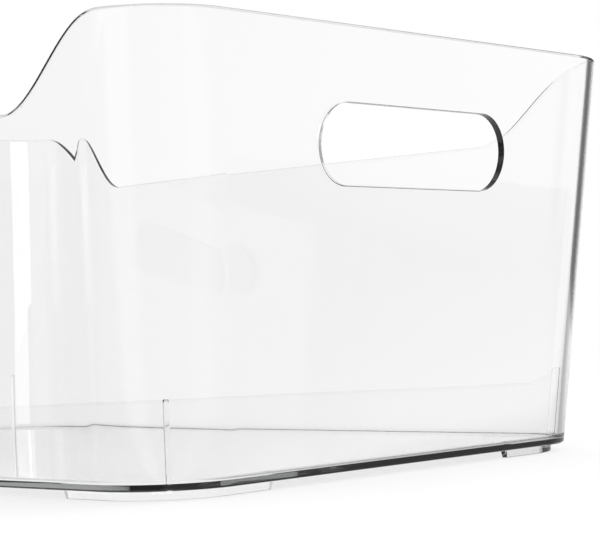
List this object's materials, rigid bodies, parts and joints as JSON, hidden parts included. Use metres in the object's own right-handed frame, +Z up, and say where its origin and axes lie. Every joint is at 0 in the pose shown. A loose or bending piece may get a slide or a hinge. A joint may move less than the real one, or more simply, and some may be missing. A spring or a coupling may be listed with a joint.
{
  "type": "storage box",
  "caption": "Open clear plastic storage box: high end walls with finger slots, a rim swept down to lower sides, and curved corner feet.",
  "frame": {"origin": "on the table under the middle of the box, at the bottom of the feet", "axes": "+Z up, +Y along the box towards the back end wall, +X across the box to the right seen from the front end wall"},
  "size_m": [0.2226, 0.316, 0.1297],
  "materials": {
    "clear_shell": "polished clear plastic",
    "clear_feet": "polished clear plastic",
    "clear_ribs": "polished clear plastic"
  },
  "bodies": {
    "root": {"tub": "clear_shell", "foot_front_left": "clear_feet", "foot_front_right": "clear_feet", "foot_back_left": "clear_feet", "foot_back_right": "clear_feet", "rib_front_left": "clear_ribs", "rib_front_right": "clear_ribs", "rib_back_left": "clear_ribs", "rib_back_right": "clear_ribs"}
  },
  "joints": []
}
